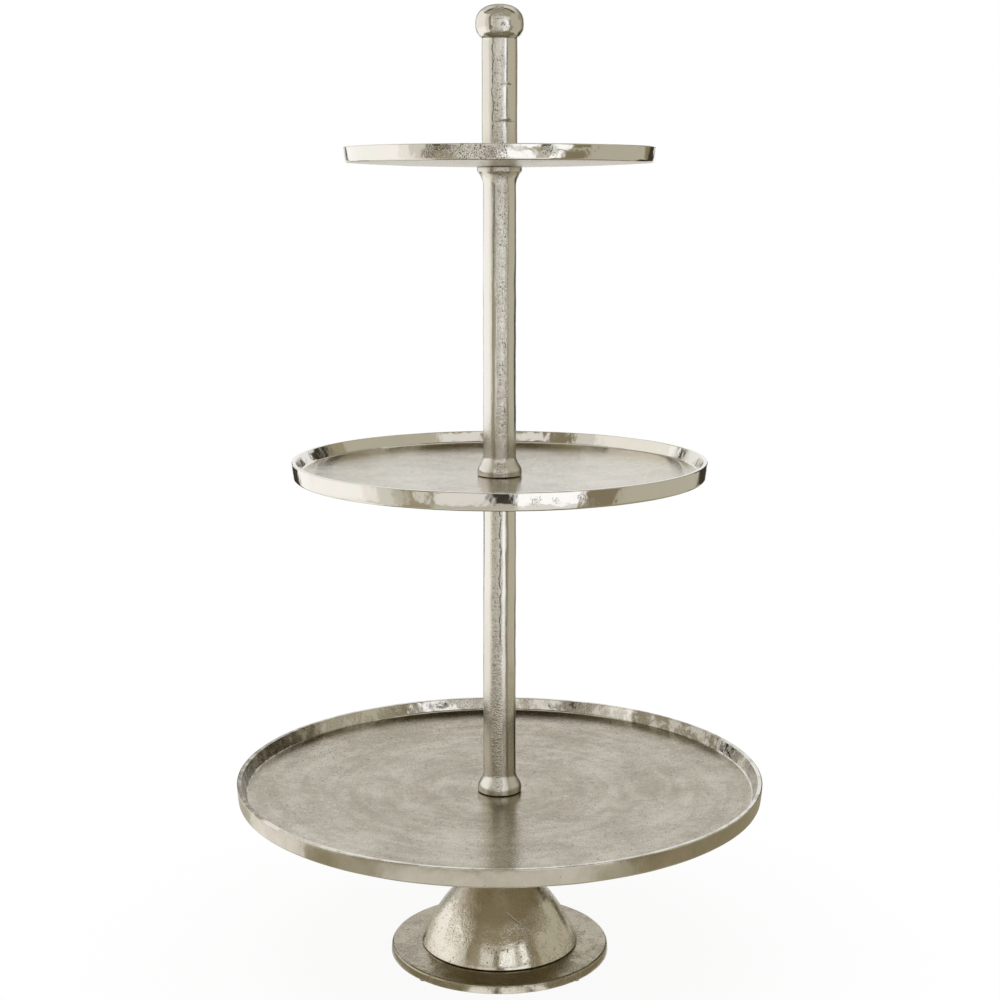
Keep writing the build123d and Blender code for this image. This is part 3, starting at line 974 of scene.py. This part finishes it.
CARDS = {
    "table": (0.0, 0.11, (*TABLE_CARDS, (61, 130, TAN), (131, 152, DARK))),
    "low": (0.11, 0.24, (*LOW_CARDS, (131, 178, OLIVE))),
    "ledge": (0.24, 0.34, (*LOW_CARDS, (131, 152, DARK))),
    "sill": (0.34, 0.38, (*SIDES, (-53, -42, BROWN), (-41, 62, OLIVE), (63, 120, TAN), (121, 154, DARK))),
    "middle": (0.38, 0.62, (
        *SIDES, (-53, -46, BROWN), (-45, -31, OLIVE), (-30, -10, PALE), (-9, 0, BROWN), (1, 23, WINDOW),
        (24, 32, TABLE), (33, 43, WINDOW), (44, 62, BROWN), (63, 120, TAN), (121, 154, DARK),
    )),
    "bar": (0.62, 0.66, (*BAR_SIDES, (-53, -42, BROWN), (-41, 50, OLIVE), (51, 130, TAN), (131, 154, DARK))),
    "upper": (0.66, 0.80, (
        *UPPER_SIDES, (-53, -48, HAZE), (-47, -30, DARK), (-29, 9, HAZE), (10, 27, WINDOW), (28, 36, DARK),
        (37, 47, WINDOW), (48, 66, BROWN), (67, 124, TAN), (125, 133, BROWN), (134, 150, DARK),
    )),
    "top": (0.80, 1.10, (
        *HIGH_SIDES, (-53, -50, HAZE), (-49, -38, BROWN), (-37, 0, PALE), (1, 9, BROWN), (10, 24, PALE),
        (25, 42, WINDOW), (43, 50, DARK), (51, 118, TAN), (119, 141, OLIVE), (142, 156, DARK),
    )),
    "head": (1.10, 1.45, (
        *HIGH_SIDES, (-53, -38, BROWN), (-36, 44, PALE), (46, 100, TAN), (101, 141, OLIVE), (142, 158, DARK),
    )),
    "crown": (1.45, 1.72, (*HIGH_SIDES, (-53, 60, OLIVE), (61, 141, TAN), (142, 158, DARK))),
    "back_head": (0.90, 1.70, ((163, 196, OLIVE),)),
}
# Just above the floor they lie in rings, between two radii in metres, in the same bearings. They are a
# painted reflection of the floor round the stand, with its shade near the foot
GROUND_HEIGHT = 0.0008
GROUND = {
    "near": (0.109, 0.165, (
        (-180, -18, OLIVE), (-17, -4, WINDOW), (-3, 0, BROWN), (1, 15, WINDOW), (16, 18, BROWN),
        (19, 26, WINDOW), (27, 180, OLIVE),
    )),
    "inner": (0.165, 0.36, ((-180, 180, TABLE),)),
    "wall": (0.36, 0.60, (
        (-150, -113, TAN), (-112, -72, SOFTBOX), (-71, -56, OLIVE), (-55, -40, TAN), (-39, 30, PALE),
        (31, 44, TAN), (45, 150, OLIVE),
    )),
    "outer": (0.60, 1.00, (*TABLE_CARDS, (61, 154, OLIVE))),
}
# Degrees: how far apart two cards may stand to be joined, how far each fades, and the steps of the bend
CARD_GAP = 2.0
CARD_FADE = 1.0
CARD_STEP = 3.0
# Overhead they lie as sheets. Each starts and ends at a distance behind the stand
CEILING_HEIGHT = 1.75
CEILING_REACH = 1.1
CEILING_CARDS = {
    "ceiling_front": (-CEILING_REACH, 0.02, CEILING),
    "ceiling_bar": (0.03, 0.28, DARK),
    "ceiling_back": (0.29, CEILING_REACH, HAZE),
}
# The light that falls from round about, and the floor's own tone
ROOM_LIGHT = (0.85, 0.84, 0.82)
PALE_FLOOR = (0.80, 0.79, 0.77)
# How the floor turns white: between which distances from the stand, and from what share to what
FLOOR_WHITENS = (0.15, 0.55, 0.93, 1.0)
FLOOR_SIZE = 12
FLOOR_CUTS = 8


def card_material():
    """What the cards shine: the colours written in their corners."""
    material = bpy.data.materials.new("studio_card")
    tree = emptied_tree(material)
    glow = Value(add_node(tree, "ShaderNodeAttribute", attribute_name="glow"), "Color")
    shine = add_node(tree, "ShaderNodeEmission", {"Color": glow, "Strength": 1.0})
    add_node(tree, "ShaderNodeOutputMaterial", {"Surface": Value(shine)})
    return material


def stage_card(name, points, faces, glows, material):
    """A sheet of the studio that only the metal sees, with a colour at each point."""
    mesh = bpy.data.meshes.new(name)
    mesh.from_pydata(points, [], faces)
    colours = mesh.color_attributes.new("glow", "FLOAT_COLOR", "POINT")
    for corner, glow in zip(colours.data, glows):
        corner.color = (*glow, 1)
    mesh.materials.append(material)
    card = linked_object(name, mesh)
    card.visible_camera = False
    card.visible_diffuse = False
    card.visible_shadow = False


def card_columns(spans):
    """Bearings and colours across a row of cards, which fade into each other where they meet."""
    columns = []
    for index, (start, end, glow) in enumerate(spans):
        soft = min(CARD_FADE, (end - start) / 4)
        meets = index > 0 and start - spans[index - 1][1] <= CARD_GAP
        goes_on = index + 1 < len(spans) and spans[index + 1][0] - end <= CARD_GAP
        first = start + soft if meets else start
        last = end - soft if goes_on else end
        steps = max(1, round((last - first) / CARD_STEP))
        for step in range(steps + 1):
            columns.append((first + (last - first) * step / steps, glow, meets or step > 0))
    return columns


def make_row(name, spans, edges, material):
    """A row of cards as one sheet between two edges, each a radius and a height."""
    points, glows, faces = [], [], []
    for bearing, glow, joined in card_columns(spans):
        turn = math.radians(bearing)
        points += [(radius * math.sin(turn), -radius * math.cos(turn), z) for radius, z in edges]
        glows += [glow, glow]
        if joined:
            corner = len(points) - 2
            faces.append((corner - 2, corner - 1, corner + 1, corner))
    stage_card(name, points, faces, glows, material)


def make_cards():
    """The bent cards round the stand, the rings on the floor and the dim sheets overhead."""
    material = card_material()
    for tier, (low_edge, high_edge, spans) in CARDS.items():
        make_row(tier + "_cards", spans, ((CARD_RADIUS, low_edge), (CARD_RADIUS, high_edge)), material)
    for ring, (inner, outer, spans) in GROUND.items():
        make_row(ring + "_ground", spans, ((inner, GROUND_HEIGHT), (outer, GROUND_HEIGHT)), material)
    side = CEILING_REACH
    for name, (front, back, glow) in CEILING_CARDS.items():
        corners = ((-side, front), (side, front), (side, back), (-side, back))
        sheet = [(x, y, CEILING_HEIGHT) for x, y in corners]
        stage_card(name, sheet, [(0, 1, 2, 3)], [glow] * 4, material)


def shown_white(tree):
    """1 for what the camera, metal or glass sees directly, 0 for light that falls on things."""
    path = add_node(tree, "ShaderNodeLightPath")
    seen = larger(Value(path, "Is Camera Ray"), Value(path, "Is Glossy Ray"))
    return larger(seen, Value(path, "Is Transmission Ray"))


def make_world():
    """White behind the stand, also in the metal, and plain soft light on the floor."""
    world = bpy.data.worlds.new("studio")
    bpy.context.scene.world = world
    tree = emptied_tree(world)
    colour = mixed(tree, shown_white(tree), (*ROOM_LIGHT, 1), (1, 1, 1, 1))
    background = add_node(tree, "ShaderNodeBackground", {"Color": colour, "Strength": 1.0})
    add_node(tree, "ShaderNodeOutputWorld", {"Surface": Value(background)})


def make_floor():
    """A pale floor that keeps the stand's soft shadow."""
    cuts = {"x_subdivisions": FLOOR_CUTS, "y_subdivisions": FLOOR_CUTS}
    bpy.ops.mesh.primitive_grid_add(**cuts, size=FLOOR_SIZE)
    floor = bpy.context.object
    floor.name = "studio_floor"
    material = bpy.data.materials.new("pale_floor")
    tree = emptied_tree(material)
    away = vector_calc("LENGTH", object_coords(tree), output="Value")
    shown = remap(away, *FLOOR_WHITENS) * shown_white(tree)
    pale = Value(add_node(tree, "ShaderNodeBsdfDiffuse", {"Color": (*PALE_FLOOR, 1)}))
    white = Value(add_node(tree, "ShaderNodeEmission", {"Color": (1, 1, 1, 1), "Strength": 1.0}))
    surface = add_node(tree, "ShaderNodeMixShader", {0: shown, 1: pale, 2: white})
    add_node(tree, "ShaderNodeOutputMaterial", {"Surface": Value(surface)})
    floor.data.materials.append(material)


def make_lamp(name, place, target, size, power):
    """A soft square lamp that points at a target."""
    lamp = bpy.data.lights.new(name, "AREA")
    lamp.shape = "SQUARE"
    lamp.size = size
    lamp.energy = power
    holder = linked_object(name, lamp)
    holder.location = place
    holder.rotation_euler = (Vector(target) - Vector(place)).to_track_quat("-Z", "Y").to_euler()
    holder.visible_camera = False
    holder.visible_glossy = False


# The photograph's camera: how far in front, how high, its tilt, its lens in mm and its shift
CAMERA_DISTANCE = 1.6670
CAMERA_HEIGHT = 0.7381
CAMERA_TILT = math.radians(6.04)
CAMERA_LENS = 63.44
CAMERA_SHIFT = (0.0004, -0.12)


def make_camera():
    """The camera at the photograph's place."""
    data = bpy.data.cameras.new("camera")
    data.lens = CAMERA_LENS
    data.shift_x, data.shift_y = CAMERA_SHIFT
    camera = linked_object("camera", data)
    camera.location = (0, -CAMERA_DISTANCE, CAMERA_HEIGHT)
    camera.rotation_euler = (math.radians(90) - CAMERA_TILT, 0, 0)
    bpy.context.scene.camera = camera


small_rim = nickel("small_rim", SILVER, rim_finish, SMALL_RIM_PLACES)
medium_rim = nickel("medium_rim", SILVER, rim_finish, MEDIUM_RIM_PLACES, MEDIUM_RIM_WEAR)
large_rim = nickel("large_rim", SILVER, large_rim_finish)
large_wall = nickel("large_wall", SATIN, large_wall_finish)
large_floor = nickel("large_floor", SATIN, large_floor_finish)
satin_floor = nickel("satin_floor", SATIN, floor_finish)
raw_shaded_underside = nickel("raw_shaded_underside", RAW_CAST_IN_SHADE, raw_finish)
turned_post = nickel("turned_post", SILVER, post_finish)
turned_handle = nickel("turned_handle", SILVER, handle_finish)
speckled_bell = nickel("speckled_bell", SATIN, foot_finish)
speckled_plate = nickel("speckled_plate", SATIN, plate_finish)
zinc_steel = nickel("zinc_steel", ZINC, steel_finish, stain=ZINC_BLOOM)

tray_materials = {
    "large_tray": (large_floor, large_rim, large_wall),
    "medium_tray": (satin_floor, medium_rim, medium_rim),
    "small_tray": (satin_floor, small_rim, small_rim),
}
make_trays(tray_materials, raw_shaded_underside)
make_posts(turned_post, turned_handle)
make_foot(speckled_bell, speckled_plate)
for steel_node in ("foot_washer", "foot_lock_washer", "foot_bolt", "lower_stud", "upper_stud"):
    finish_node(steel_node, zinc_steel)
finish_node("foot_pads", felt())

make_world()
make_floor()
make_cards()
make_lamp("overhead", place=(-0.7, -0.5, 2.6), target=(0, 0, 0.3), size=1.6, power=14)
make_camera()
bpy.context.scene.view_settings.view_transform = "Standard"
